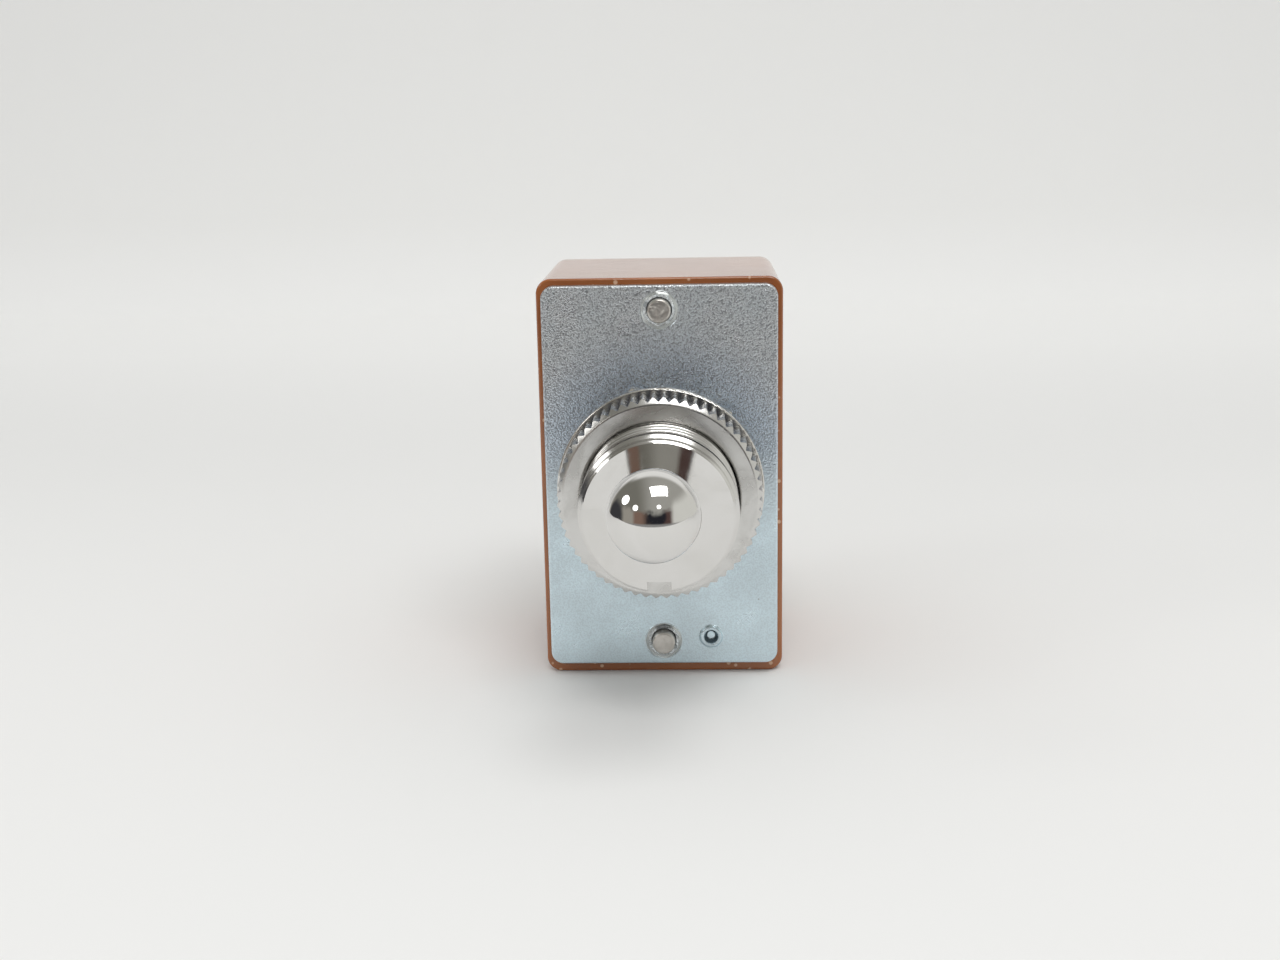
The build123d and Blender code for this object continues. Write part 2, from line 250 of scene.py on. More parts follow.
resinLook = {
    "brown": (0.37, 0.122, 0.034), "deepBrown": (0.30, 0.092, 0.024), "cloudTone": (0.43, 0.152, 0.046),
    "grain": {"Scale": 2600.0, "Patch_Scale": 90.0},
    "dustSpecks": {"Scale": 900.0, "Size": 0.10, "Share": 0.07},
    "flakes": {"Scale": 1700.0, "Size": 0.36, "Share": 0.20},
    "cloud": {"scale": 260.0, "detail": 5.0, "roughness": 0.6, "distortion": 1.2},
    "cloudShare": (0.45, 0.75, 0.0, 0.30),
    "edge": (1.0, 1.4, 1.0, 0.0),  # the worn front edge
    "chips": (0.75, (0.78, 0.52, 0.34)),  # share and tone, as for dust
    "dust": (0.35, (0.62, 0.44, 0.31)), "gloss": (0.3, 0.7, 0.13, 0.165), "chipRoughness": 0.3,
    "skin": {"Specular_IOR_Level": 0.6, "Coat_Weight": 0.5, "Coat_Roughness": 0.12},  # from a polished mould
    "grainHeight": 0.25, "bump": (0.25, 0.00004),
}


def makeResin():
    look = resinLook
    tree, shader, where = newFinish("case_resin")
    surface = useGroup(tree, grainGroup, where, **look["grain"])
    dust = useGroup(tree, speckGroup, where, **look["dustSpecks"])["Mask"]
    flakes = useGroup(tree, speckGroup, where, **look["flakes"])["Mask"]
    cloud = noiseValue(tree, where, **look["cloud"])
    tone = mixColour(tree, surface["Patch"], look["deepBrown"], look["brown"])
    tone = mixColour(tree, ramp(tree, cloud, *look["cloudShare"]), tone, look["cloudTone"])
    # small chips along the front outline
    chips = times(tree, lengthRamp(tree, axesOf(tree, where)["Y"], *look["edge"]), flakes)
    tone = tinted(tree, tone, chips, *look["chips"])
    tone = tinted(tree, tone, dust, *look["dust"])
    gloss = ramp(tree, cloud, *look["gloss"])
    gloss = mathNode(tree, "ADD", gloss, times(tree, chips, look["chipRoughness"]))
    feedAll(tree, shader, Base_Color=tone, Roughness=gloss, **look["skin"])
    height = mathNode(tree, "SUBTRACT", times(tree, surface["Height"], look["grainHeight"]), chips)
    bumpInto(tree, shader, height, *look["bump"])


zincLook = {
    "grey": (0.72, 0.75, 0.775), "blue": (0.71, 0.845, 0.91), "paintedShadeTone": (0.27, 0.28, 0.305),
    "blueShadeTone": (0.62, 0.73, 0.88),
    "grain": {"Scale": 7600.0, "Patch_Scale": 260.0},
    "pitSpecks": {"Scale": 900.0, "Size": 0.12, "Share": 0.06},
    "patches": (0.35, (0.58, 0.66, 0.70)),  # share and tone, as for the pits
    "pits": (0.6, (0.24, 0.23, 0.22)),
    "upper": (-5.634, 9.077),  # heights between which blue turns grey
    "blueShadeNear": (7.5, 13.5, 0.75, 0.0), "blueShadeRise": (-2.3475, 4.695), "shadedHollows": (0.0, 0.8, 1.0, 0.0),
    "hollowShadeShare": (0.16, 0.70),  # painted shade in the grain's hollows, at the bottom and at the top
    "roughness": (0.27, 0.34), "grainHeight": (0.3, 1.0), "bump": (0.62, 0.00004),
}


def makeZinc():
    look = zincLook
    tree, shader, where = newFinish("zinc_plate")
    rise = axesOf(tree, where)["Z"]
    upper = lengthRamp(tree, rise, *look["upper"])
    surface = useGroup(tree, grainGroup, where, **look["grain"])
    pits = useGroup(tree, speckGroup, where, **look["pitSpecks"])["Mask"]
    tone = mixColour(tree, upper, look["blue"], look["grey"])
    tone = tinted(tree, tone, surface["Patch"], *look["patches"])
    # the plating's blue tint, painted stronger above the nut as the nut's shade on the plate
    near = lengthRamp(tree, lengthOf(tree, aside(tree, where)), *look["blueShadeNear"])
    blueShade = times(tree, near, lengthRamp(tree, rise, *look["blueShadeRise"]))
    tone = mixColour(tree, blueShade, tone, look["blueShadeTone"])
    # the grain's hollows get painted shade, more towards the top
    shadedHollows = ramp(tree, surface["Height"], *look["shadedHollows"])
    shadedHollows = times(tree, shadedHollows, between(tree, upper, *look["hollowShadeShare"]))
    tone = mixColour(tree, shadedHollows, tone, look["paintedShadeTone"])
    tone = tinted(tree, tone, pits, *look["pits"])
    rough = ramp(tree, surface["Patch"], 0.0, 1.0, *look["roughness"], smooth=False)
    feedAll(tree, shader, Base_Color=tone, Metallic=1.0, Roughness=rough)
    height = times(tree, surface["Height"], between(tree, upper, *look["grainHeight"]))
    bumpInto(tree, shader, height, *look["bump"])


grooves = {
    "dirt": (0.9, (0.075, 0.09, 0.135)),  # share and tone of the painted shade between the teeth
    "face": 7.48,  # radius where the nut's front bevel starts
    "front": -6.9,
    "slope": 0.34 / 0.42, "deep": (7.62, 7.86, 1.0, 0.0), "behind": (0.01, 0.06), "inner": (7.55, 7.6),
}


def knurlShadeMask(tree, where):
    # painted shade between the knurled teeth, behind the front bevel
    look = grooves
    radius = lengthOf(tree, aside(tree, where))
    deep = lengthRamp(tree, radius, *look["deep"])
    rise = times(tree, mathNode(tree, "SUBTRACT", radius, look["face"] * mm), look["slope"])
    behind = mathNode(tree, "SUBTRACT", axesOf(tree, where)["Y"], look["front"] * mm)
    behind = lengthRamp(tree, mathNode(tree, "SUBTRACT", behind, rise), *look["behind"])
    inside = times(tree, behind, lengthRamp(tree, radius, *look["inner"]))
    return times(tree, deep, inside)


brightLook = {
    "marks": {"Smear_Scale": 240.0, "Hairline_Scale": 2600.0},
    "pitSpecks": {"Scale": 700.0, "Size": 0.13},
    "pits": (0.7, (0.30, 0.27, 0.24)),  # share and tone
    "smearShare": 0.5, "softDepth": 0.1, "softening": 0.10, "hairline": 0.04, "bump": (0.03, 0.00003),
}


def makeBright(slotName, tone, dull, roughness, smear, pitting=0.04, shadedGrooves=False, softBehind=None):
    # polished plating: clear reflections, a little wiped haze and a few pits
    look = brightLook
    tree, shader, where = newFinish(slotName)
    marks = useGroup(tree, handlingGroup, where, **look["marks"])
    pits = useGroup(tree, speckGroup, where, **look["pitSpecks"], Share=pitting)["Mask"]
    tone = tinted(tree, tone, marks["Smear"], look["smearShare"], dull)
    tone = tinted(tree, tone, pits, *look["pits"])
    if shadedGrooves:
        # the knurl's grooves get painted shade
        tone = tinted(tree, tone, knurlShadeMask(tree, where), *grooves["dirt"])
    haze = between(tree, marks["Smear"], roughness, roughness + smear)
    if softBehind is not None:  # less polished behind the front face
        limits = (softBehind, softBehind + look["softDepth"])
        soft = lengthRamp(tree, axesOf(tree, where)["Y"], *limits, 0.0, look["softening"])
        haze = mathNode(tree, "ADD", haze, soft)
    haze = mathNode(tree, "ADD", haze, times(tree, marks["Hairline"], look["hairline"]))
    feedAll(tree, shader, Base_Color=tone, Metallic=1.0, Roughness=haze)
    bumpInto(tree, shader, mathNode(tree, "SUBTRACT", marks["Smear"], pits), *look["bump"])


plainLook = {
    "pits": {"Size": 0.2, "Share": 0.1},
    "pitScale": 0.6,  # share of the grain's scale
    "pitTone": 0.45,  # share of the second tone
    "pitShare": 0.6, "roughSpread": 0.12,
}


def makePlain(slotName, tone, second, roughness, scale, patch, metallic=1.0, bump=(0.25, 0.00002)):
    # worked metal or moulded nylon: mottled tone, grain and a few dark pits
    look = plainLook
    tree, shader, where = newFinish(slotName)
    surface = useGroup(tree, grainGroup, where, Scale=scale, Patch_Scale=patch)
    pits = useGroup(tree, speckGroup, where, Scale=scale * look["pitScale"], **look["pits"])["Mask"]
    dark = tuple(look["pitTone"] * part for part in second)
    tone = mixColour(tree, surface["Patch"], tone, second)
    tone = tinted(tree, tone, pits, look["pitShare"], dark)
    rough = between(tree, surface["Patch"], roughness, roughness + look["roughSpread"])
    feedAll(tree, shader, Base_Color=tone, Metallic=metallic, Roughness=rough)
    bumpInto(tree, shader, mathNode(tree, "SUBTRACT", surface["Height"], pits), *bump)


# Where the pins and the pip stand on the plate, as x and z
plateSpots = {"upperPin": (0.0, 13.68), "lowerPin": (0.0, -13.68), "pip": (3.9, -13.30)}

stakedLook = {
    "pale": (0.84, 0.89, 0.91), "dull": (0.42, 0.455, 0.475), "paintedShadeTone": (0.07, 0.075, 0.085),
    "bevelTone": (0.87, 0.95, 1.0),
    "grain": {"Scale": 3600.0, "Patch_Scale": 2300.0},
    "mottle": (0.45, 0.9),
    "bevelFoot": (1.24, 1.30),  # clean outside these radii, crushed inside them
    "gapShadeBand": (0.98, 0.99, 1.02, 1.06),  # radii of the painted shade in the gap next to each pin
    "shadeBand": (1.04, 1.10, 1.34, 1.44),
    "shadeRise": (0.72, 0.95),  # how squarely above the lower pin the painted shade patch lies
    "shadeShare": 0.75, "paintedShadeShare": 0.9,
    "metallic": (0.6, 0.85),  # crushed and clean
    "roughness": (0.26, 0.42), "bevelRoughness": 0.4, "bevelGrain": 0.15, "bump": (0.4, 0.00003),
}


def ringMask(tree, radius, band):
    # 1 between two radii, fading at both sides
    return times(tree, lengthRamp(tree, radius, *band[:2]), lengthRamp(tree, radius, *band[2:], 1.0, 0.0))


def makeStaked():
    # crushed metal round the pins: pale and mottled, with painted shade next to each pin and above the lower pin
    look = stakedLook
    tree, shader, where = newFinish("stakedZinc")
    surface = useGroup(tree, grainGroup, where, **look["grain"])
    tone = mixColour(tree, ramp(tree, surface["Patch"], *look["mottle"]), look["pale"], look["dull"])
    dark, clean = 0.0, 1.0
    for pin in ("upperPin", "lowerPin"):
        away = aside(tree, where, plateSpots[pin])
        radius = lengthOf(tree, away)
        # painted shade in the gap next to each pin
        dark = mathNode(tree, "MAXIMUM", ringMask(tree, radius, look["gapShadeBand"]), dark)
        clean = mathNode(tree, "MINIMUM", lengthRamp(tree, radius, *look["bevelFoot"]), clean)
    tone = mixColour(tree, clean, tone, look["bevelTone"])
    # the painted shade patch belongs to the lower pin, the last one above
    rise = mathNode(tree, "DIVIDE", axesOf(tree, away)["Z"], radius)
    above = times(tree, ringMask(tree, radius, look["shadeBand"]), ramp(tree, rise, *look["shadeRise"]))
    dark = mathNode(tree, "MAXIMUM", dark, times(tree, above, look["shadeShare"]))
    # the dark tone over these masks is painted shade
    tone = tinted(tree, tone, dark, look["paintedShadeShare"], look["paintedShadeTone"])
    rough = between(tree, surface["Patch"], *look["roughness"])
    rough = times(tree, rough, between(tree, clean, 1.0, look["bevelRoughness"]))
    metallic = between(tree, clean, *look["metallic"])
    feedAll(tree, shader, Base_Color=tone, Metallic=metallic, Roughness=rough)
    height = times(tree, surface["Height"], between(tree, clean, 1.0, look["bevelGrain"]))
    bumpInto(tree, shader, height, *look["bump"])


pipLook = {
    "pale": (0.70, 0.83, 0.895),
    "dull": (0.25, stakedLook["dull"]),  # share and tone
    "grain": {"Scale": 4200.0, "Patch_Scale": 1200.0},
    "pipShadeBand": (0.27, 0.35, 0.54, 0.60),
    "dark": (0.68, stakedLook["paintedShadeTone"]), "roughness": (0.24, 0.32), "bump": (0.15, 0.00003),
}


def makePipFinish():
    # the plate's own plating, with painted shade down the side of the bowl
    look = pipLook
    tree, shader, where = newFinish("pipZinc")
    surface = useGroup(tree, grainGroup, where, **look["grain"])
    radius = lengthOf(tree, aside(tree, where, plateSpots["pip"]))
    tone = tinted(tree, look["pale"], surface["Patch"], *look["dull"])
    # painted shade down the side of the bowl
    tone = tinted(tree, tone, ringMask(tree, radius, look["pipShadeBand"]), *look["dark"])
    rough = between(tree, surface["Patch"], *look["roughness"])
    feedAll(tree, shader, Base_Color=tone, Metallic=1.0, Roughness=rough)
    bumpInto(tree, shader, surface["Height"], *look["bump"])


makeResin()
makeZinc()
makeStaked()
makePipFinish()
makeBright("bushing_chrome", (0.71, 0.70, 0.685), (0.65, 0.64, 0.615), roughness=0.05, smear=0.05, softBehind=-12.09)
makeBright("lever_chrome", (0.74, 0.73, 0.715), (0.70, 0.69, 0.665), roughness=0.035, smear=0.03)
makeBright(
    "nut_chrome", (0.67, 0.665, 0.65), (0.57, 0.56, 0.535), roughness=0.20, smear=0.08, pitting=0.10, shadedGrooves=True
)
makeBright("hex_nut_nickel", (0.72, 0.70, 0.65), (0.60, 0.57, 0.51), roughness=0.16, smear=0.12, pitting=0.10)
makeBright("washer_nickel", (0.74, 0.73, 0.70), (0.64, 0.62, 0.58), roughness=0.14, smear=0.10, pitting=0.08)
makeBright("screw_nickel", (0.72, 0.71, 0.67), (0.58, 0.56, 0.51), roughness=0.16, smear=0.14, pitting=0.10)
makePlain(
    "pin_steel", (0.70, 0.67, 0.625), (0.56, 0.53, 0.49), roughness=0.30, scale=2200.0, patch=700.0, bump=(0.4, 0.00005)
)
makePlain("washer_steel", (0.55, 0.55, 0.54), (0.42, 0.42, 0.41), roughness=0.28, scale=2400.0, patch=500.0)
makePlain(
    "driver_nylon", (0.78, 0.75, 0.66), (0.70, 0.66, 0.56), roughness=0.45, scale=1500.0, patch=260.0,
    metallic=0.0, bump=(0.2, 0.00003),
)
makePlain("plunger_brass", (0.76, 0.55, 0.24), (0.62, 0.43, 0.18), roughness=0.22, scale=1800.0, patch=420.0)
makePlain("spring_steel", (0.60, 0.59, 0.57), (0.46, 0.45, 0.43), roughness=0.25, scale=3000.0, patch=800.0)
makePlain("rocker_copper", (0.83, 0.45, 0.28), (0.66, 0.32, 0.19), roughness=0.24, scale=1700.0, patch=300.0)
makePlain("terminal_brass", (0.78, 0.59, 0.28), (0.64, 0.46, 0.20), roughness=0.24, scale=1600.0, patch=260.0)
makePlain("contact_silver", (0.86, 0.85, 0.82), (0.70, 0.68, 0.63), roughness=0.26, scale=2200.0, patch=600.0)
print("finishes made:", len(finishes))


# Mesh helpers, with sizes in millimetres

meshCare = {
    "weld": 0.0004, "sliver": 0.0002,
    "seam": 0.0005,  # between repeated shapes
}


def outward(mesh, weld):
    work = bmesh.new()
    work.from_mesh(mesh)
    if weld:
        bmesh.ops.remove_doubles(work, verts=work.verts, dist=meshCare["weld"] * mm)
        bmesh.ops.dissolve_degenerate(work, edges=work.edges, dist=meshCare["sliver"] * mm)
    bmesh.ops.recalc_face_normals(work, faces=work.faces)
    work.to_mesh(mesh)
    work.free()


def smoothed(mesh, sharpAngle):
    mesh.shade_smooth()
    mesh.set_sharp_from_angle(angle=math.radians(sharpAngle))


def addObject(name, data):
    piece = bpy.data.objects.new(name, data)
    bpy.context.scene.collection.objects.link(piece)
    return piece


def rawMesh(name, points, faces, edges=()):
    mesh = bpy.data.meshes.new(name)
    mesh.from_pydata([Vector(point) * mm for point in points], edges, faces)
    return mesh


def addPiece(name, points, faces, finish, sharpAngle):
    mesh = rawMesh(name, points, faces)
    mesh.materials.append(finishes[finish])
    outward(mesh, weld=True)
    smoothed(mesh, sharpAngle)
    return addObject(name, mesh)


def skin(rings, loop=False, wrap=True):
    # quads between neighbouring rings of points
    count = len(rings[0])
    points = [point for ring in rings for point in ring]
    faces = []
    rows = len(rings) if loop else len(rings) - 1
    for row in range(rows):
        below, above = row * count, (row + 1) % len(rings) * count
        for column in range(count if wrap else count - 1):
            beside = (column + 1) % count
            faces.append((below + column, below + beside, above + beside, above + column))
    return points, faces


def turned(profile, steps, pose=Matrix.Identity(4)):
    # rings about Y from (radius, y) points, turning from X towards Z
    angles = [2 * math.pi * step / steps for step in range(steps)]
    return [
        [pose @ Vector((radius * math.cos(angle), y, radius * math.sin(angle))) for angle in angles]
        for radius, y in profile
    ]


def seamed(profile, steps):
    # turned rings that come back to their first point
    return [ring + [ring[0]] for ring in turned(profile, steps)]


def arc(centre, radius, start, end, steps):
    # (radius, y) points on a circle, with angles from the +radius side towards +y
    angles = [start + (end - start) * step / steps for step in range(steps + 1)]
    return [(centre[0] + radius * math.cos(angle), centre[1] + radius * math.sin(angle)) for angle in angles]


def settled(piece):
    # the evaluated shape becomes the plain mesh, and the modifiers go
    bpy.context.view_layer.update()
    shape = piece.evaluated_get(bpy.context.evaluated_depsgraph_get())
    mesh = bpy.data.meshes.new_from_object(shape)
    piece.modifiers.clear()
    old, piece.data = piece.data, mesh
    mesh.name = piece.name
    bpy.data.meshes.remove(old)


def cutAway(piece, cutter):
    # exact boolean, applied at once
    change = piece.modifiers.new("cut", "BOOLEAN")
    change.operation = "DIFFERENCE"
    change.solver = "EXACT"
    change.object = cutter
    settled(piece)
    bpy.data.objects.remove(cutter)


def boxCutter(low, high):
    points = [(x, y, z) for x in (low[0], high[0]) for y in (low[1], high[1]) for z in (low[2], high[2])]
    faces = [(0, 1, 3, 2), (4, 6, 7, 5), (0, 4, 5, 1), (2, 3, 7, 6), (0, 2, 6, 4), (1, 5, 7, 3)]
    return addObject("cutter", rawMesh("cutter", points, faces))


def rodCutter(radius, halfLength, y, steps=32):
    # a round cutter along X
    angles = [2 * math.pi * step / steps for step in range(steps)]
    rings = [
        [(x, y + radius * math.cos(angle), radius * math.sin(angle)) for angle in angles]
        for x in (-halfLength, halfLength)
    ]
    points, faces = skin(rings)
    faces += [tuple(reversed(range(steps))), tuple(range(steps, 2 * steps))]
    mesh = rawMesh("cutter", points, faces)
    outward(mesh, weld=False)
    return addObject("cutter", mesh)


def place(piece, body, slotName, *replaced):
    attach(piece, body)
    if replaced:
        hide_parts(*replaced)


# Threads of the bushing and the terminal screws

thread = {
    "crest": 0.2,  # share of the pitch that is rounded
    "crown": 0.12, "flankEnd": 0.6,
}


def threadHeight(phase):
    # one turn's profile: a rounded crest, straight flanks and a flat root
    crest, crown, end = thread["crest"], thread["crown"], thread["flankEnd"]
    across = abs((phase % 1.0) - 0.5) * 2
    if across < crest:
        return 1.0 - crown * (across / crest) ** 2
    return max(0.0, (1.0 - crown) * (end - across) / (end - crest))


def threadRings(size, length, trim):
    # rows about Y that follow the helix forward from y = 0, clamped at both ends
    rows, steps = size["rowsPerTurn"], size["steps"]
    turns = math.ceil(length / size["pitch"]) + 1
    rings = []
    for row in range(-rows, turns * rows + 1):
        ring = []
        for step in range(steps + 1):
            share = step / steps
            along = min(max(size["pitch"] * (row / rows + share), 0.0), length)
            height = threadHeight(along / size["pitch"] - share + size["phase"])
            radius = size["rootRadius"] + (size["radius"] - size["rootRadius"]) * height
            radius = trim(radius, length - along)
            angle = 2 * math.pi * share
            ring.append((radius * math.cos(angle), -along, radius * math.sin(angle)))
        rings.append(ring)
    return rings


# Threaded bushing with its keyway

bushing = {
    "radius": 6.0, "rootRadius": 5.5, "pitch": 1.0, "phase": 0.55, "front": -12.1,
    "threadLength": 10.25, "threadBack": 0.05, "runOut": 0.5, "nose": 5.75, "noseBack": -11.1,
    "noseChamfer": 0.17, "noseChamferDepth": 0.13, "shoulderDepth": 0.2, "mouth": 3.072,
    "mouthBevel": 0.1, "support": 0.08, "seat": 3.9, "seatSteps": 10, "pivot": -7.0, "flange": 7.6,
    "flangeFront": 1.0, "flangeBack": 2.0, "flangeChamfer": 0.12, "keyWidth": 1.8, "keyDepth": 1.1,
    "slotRadius": 0.8, "slotHalf": 4.6,
    "cutAhead": 1.0,  # how far the cutters stand out
    "cutBelow": 3.0, "cutBehind": 1.0, "steps": 144, "rowsPerTurn": 24, "sharp": 32.0,
}


def makeBushing():
    size = bushing
    radius, front, support = size["radius"], size["front"], size["support"]

    def runOut(threadRadius, left):
        return max(threadRadius, radius - (radius - size["rootRadius"]) * left / size["runOut"])

    drop = math.sqrt(size["seat"] ** 2 - size["mouth"] ** 2)
    lean = math.atan2(-drop, size["mouth"])
    shoulder = size["noseBack"] + size["shoulderDepth"]
    corner = front + size["noseChamferDepth"]
    face = size["nose"] - size["noseChamfer"]
    rim = size["mouth"] + size["mouthBevel"]
    inside = [
        (radius, shoulder + support), (radius, shoulder), (size["nose"], size["noseBack"]),
        (size["nose"], corner + support), (size["nose"], corner), (face, front),
        (face - support, front), (rim + support, front), (rim, front),
        (size["mouth"], front + size["mouthBevel"]),
    ]
    inside += arc((0, size["pivot"]), size["seat"], lean, 0.0, size["seatSteps"])
    inside += [(size["seat"], size["flangeBack"])]
    edge = size["flangeChamfer"]
    outside = [
        (size["flange"] - edge, size["flangeBack"]), (size["flange"], size["flangeBack"] - edge),
        (size["flange"], size["flangeFront"] + edge), (size["flange"] - edge, size["flangeFront"]),
        (radius, size["flangeFront"]), (radius, size["threadBack"]),
    ]
    rings = threadRings(size, size["threadLength"], runOut) + seamed(inside + outside, size["steps"])
    points, faces = skin(rings, loop=True, wrap=False)
    piece = addPiece("bushing_thread", points, faces, "bushing_chrome", size["sharp"])
    half, slot, deep = size["keyWidth"] / 2, size["slotHalf"], size["slotRadius"]
    key = size["keyDepth"] - radius
    behind = size["flangeBack"] + size["cutBehind"]
    cutAway(piece, boxCutter((-half, front - size["cutAhead"], -radius - size["cutBelow"]), (half, 0.0, key)))
    cutAway(piece, rodCutter(deep, slot, size["pivot"]))
    cutAway(piece, boxCutter((-slot, size["pivot"], -deep), (slot, behind, deep)))
    smoothed(piece.data, size["sharp"])
    place(piece, "switch_body", "bushing_chrome", "bushing")


makeBushing()
print("bushing threaded")


# Bat lever, turned in one profile

lever = {
    "pivot": -7.0, "tilt": 11.0, "reach": 20.3995, "radius": 3.1, "capRadius": 3.6, "capSteps": 28,
    "shoulder": 1.9, "shoulderSteps": 16, "neck": 1.9, "neckSteps": 8, "faceReach": 5.1, "ball": 3.8,
    "ballSteps": 24, "stem": 1.75, "stemEnd": 13.04, "stemChamfer": 0.25, "axleHole": 0.77,
    "axleHalf": 6.0, "steps": 160, "sharp": 40.0,
}
leverPose = Matrix.Translation((0, lever["pivot"], 0)) @ Matrix.Rotation(math.radians(-lever["tilt"]), 4, "X")


def makeLever():
    size = lever
    stem, stemEnd, chamfer = size["stem"], size["stemEnd"], size["stemChamfer"]
    capMiddle = size["capRadius"] - size["reach"]
    shoulderMiddle = size["radius"] - size["shoulder"]
    gap = size["capRadius"] - size["shoulder"]
    crown = capMiddle - math.sqrt(gap ** 2 - shoulderMiddle ** 2)
    lean = math.atan2(crown - capMiddle, shoulderMiddle)
    taper = (size["radius"] - size["neck"]) / (-size["faceReach"] - crown)
    root = size["neck"] - taper * size["faceReach"]
    bend = 1 + taper ** 2
    room = (root * taper) ** 2 + bend * (size["ball"] ** 2 - root ** 2)
    neckEnd = (root * taper - math.sqrt(room)) / bend
    neckAngle = math.atan2(neckEnd, root - taper * neckEnd)
    stemAngle = math.acos(stem / size["ball"])
    profile = arc((0, capMiddle), size["capRadius"], -math.pi / 2, lean, size["capSteps"])
    middle = (shoulderMiddle, crown)
    profile += arc(middle, size["shoulder"], lean, math.atan(-taper), size["shoulderSteps"])[1:]
    start = profile[-1][1]
    for step in range(1, size["neckSteps"] + 1):
        y = start + (neckEnd - start) * step / size["neckSteps"]
        profile.append((root - taper * y, y))
    profile += arc((0, 0), size["ball"], neckAngle, stemAngle, size["ballSteps"])[1:]
    profile += [(stem, stemEnd - chamfer), (stem - chamfer, stemEnd), (0, stemEnd)]
    points, faces = skin(turned(profile, size["steps"], leverPose))
    piece = addPiece("lever_bat", points, faces, "lever_chrome", size["sharp"])
    cutAway(piece, rodCutter(size["axleHole"], size["axleHalf"], size["pivot"]))
    smoothed(piece.data, size["sharp"])
    place(piece, "lever", "lever_chrome", "lever")


makeLever()
print("lever turned")


# Geometry Nodes: trees for what goes round an axis, what stands on points and what follows a path

def newShapeTree(name, **inputs):
    # sockets by name, with _ for a space; every tree takes a finish
    tree = bpy.data.node_groups.new(name, "GeometryNodeTree")
    tree.interface.new_socket("Geometry", in_out="INPUT", socket_type="NodeSocketGeometry")
    sockets = {}
    for key, kind in {**inputs, "Finish": "Material"}.items():
        label = key.replace("_", " ")
        socket = tree.interface.new_socket(label, in_out="INPUT", socket_type="NodeSocket" + kind)
        sockets[label] = socket.identifier
    tree.interface.new_socket("Geometry", in_out="OUTPUT", socket_type="NodeSocketGeometry")
    return tree, sockets, addNode(tree, "NodeGroupInput").outputs


def finishTree(tree, geometry, given):
    # real geometry, welded and with its finish
    solid = addNode(tree, "GeometryNodeRealizeInstances")
    weld = addNode(tree, "GeometryNodeMergeByDistance")
    coat = addNode(tree, "GeometryNodeSetMaterial")
    feedAll(tree, solid, Geometry=geometry)
    feedAll(tree, weld, Geometry=solid.outputs[0], Distance=meshCare["seam"] * mm)
    feedAll(tree, coat, Geometry=weld.outputs[0], Material=given["Finish"])
    feedAll(tree, addNode(tree, "NodeGroupOutput"), Geometry=coat.outputs[0])


def copiesOn(tree, points, given, **others):
    # one copy of the given shape on every point
    copies = addNode(tree, "GeometryNodeInstanceOnPoints")
    feedAll(tree, copies, Points=points, Instance=given["Geometry"], **others)
    finishTree(tree, copies.outputs[0], given)


def makeRoundTree():
    # copies of one sector about Y
    tree, sockets, given = newShapeTree("roundRow", Count="Int")
    points = addNode(tree, "GeometryNodePoints")
    feedAll(tree, points, Count=given["Count"])
    number = addNode(tree, "GeometryNodeInputIndex").outputs[0]
    turn = addNode(tree, "ShaderNodeCombineXYZ")
    feedAll(tree, turn, Y=times(tree, mathNode(tree, "DIVIDE", number, given["Count"]), -2 * math.pi))
    copiesOn(tree, points.outputs[0], given, Rotation=turn.outputs[0])
    return tree, sockets


def makeStandTree():
    # one shape on a grid of columns and rows in the XZ plane
    tree, sockets, given = newShapeTree(
        "standingGrid", Column_Gap="Float", Row_Gap="Float", Columns="Int", Rows="Int", Middle="Vector"
    )
    columns, rows = given["Columns"], given["Rows"]
    width = times(tree, given["Column Gap"], mathNode(tree, "SUBTRACT", columns, 1.0))
    height = times(tree, given["Row Gap"], mathNode(tree, "SUBTRACT", rows, 1.0))
    grid = addNode(tree, "GeometryNodeMeshGrid")
    feedAll(tree, grid, Size_X=width, Size_Y=height, Vertices_X=columns, Vertices_Y=rows)
    flat = axesOf(tree, addNode(tree, "GeometryNodeInputPosition").outputs[0])
    upright = addNode(tree, "ShaderNodeCombineXYZ")
    feedAll(tree, upright, X=flat["X"], Z=flat["Y"])
    shifted = vectorNode(tree, "ADD", upright.outputs[0], given["Middle"])[0]
    stand = addNode(tree, "GeometryNodeSetPosition")
    feedAll(tree, stand, Geometry=grid.outputs["Mesh"], Position=shifted)
    copiesOn(tree, stand.outputs[0], given)
    return tree, sockets


def makeWireTree():
    # a round wire swept along a path
    tree, sockets, given = newShapeTree("wireOnPath", Wire="Float", Sides="Int")
    line = addNode(tree, "GeometryNodeMeshToCurve")
    feedAll(tree, line, Mesh=given["Geometry"])
    ring = addNode(tree, "GeometryNodeCurvePrimitiveCircle")
    feedAll(tree, ring, Resolution=given["Sides"], Radius=given["Wire"])
    sweep = addNode(tree, "GeometryNodeCurveToMesh")
    feedAll(tree, sweep, Curve=line.outputs[0], Profile_Curve=ring.outputs[0], Fill_Caps=True)
    finishTree(tree, sweep.outputs[0], given)
    return tree, sockets


roundTree = makeRoundTree()
standTree = makeStandTree()
wireTree = makeWireTree()


def repeated(name, mesh, treeAndSockets, values, sharpAngle):
    tree, sockets = treeAndSockets
    piece = addObject(name, mesh)
    rule = piece.modifiers.new("rule", "NODES")
    rule.node_group = tree
    for label, value in values.items():
        rule[sockets[label]] = value
    settled(piece)
    outward(piece.data, weld=True)
    smoothed(piece.data, sharpAngle)
    return piece


# Knurled nut: one tooth's sector, repeated about the axis

